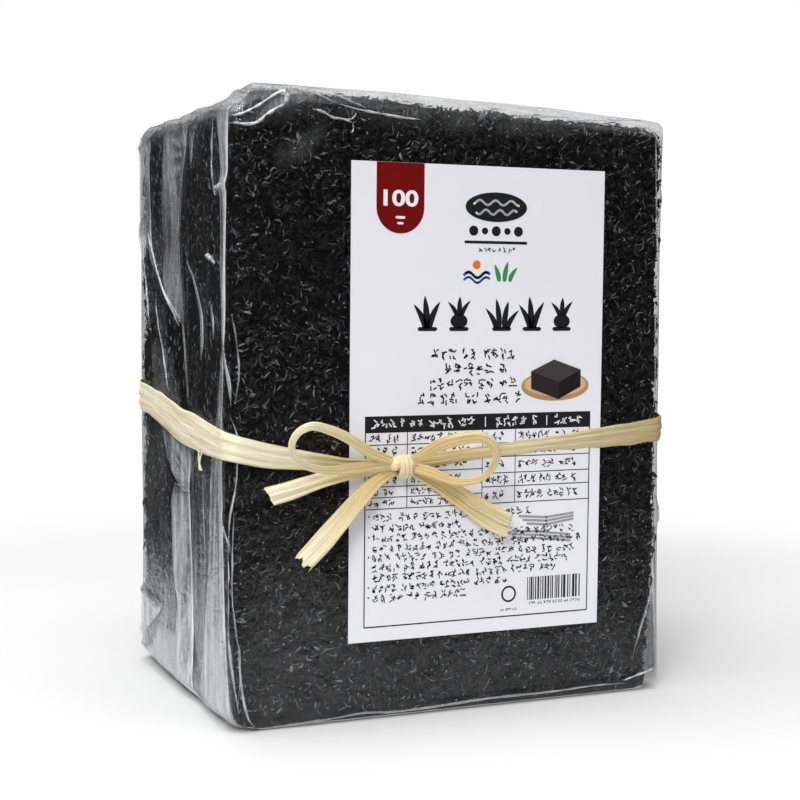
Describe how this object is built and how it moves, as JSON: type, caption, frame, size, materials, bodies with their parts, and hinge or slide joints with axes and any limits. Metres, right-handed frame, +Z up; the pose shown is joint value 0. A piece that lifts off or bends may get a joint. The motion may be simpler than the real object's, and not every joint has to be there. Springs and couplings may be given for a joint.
{
  "type": "nori sheet pack",
  "caption": "Upright block of folded dried seaweed sheets sealed in clear film, with a paper label on the front and a raffia tie in a bow.",
  "frame": {"origin": "middle of the base, on the surface that the pack stands on", "axes": "+Z up; the label and the bow face -Y; +X to the right of someone who reads the label"},
  "size_m": [0.1564, 0.1337, 0.1973],
  "materials": {
    "nori": "dull, rough",
    "clear_film": "clear, crinkled, glossy",
    "label_paper": "smooth, matte",
    "raffia": "dry, faintly glossy along the fibre"
  },
  "bodies": {
    "root": {"film_pack": "nori", "label": "label_paper", "raffia_tie": "raffia"}
  },
  "joints": []
}
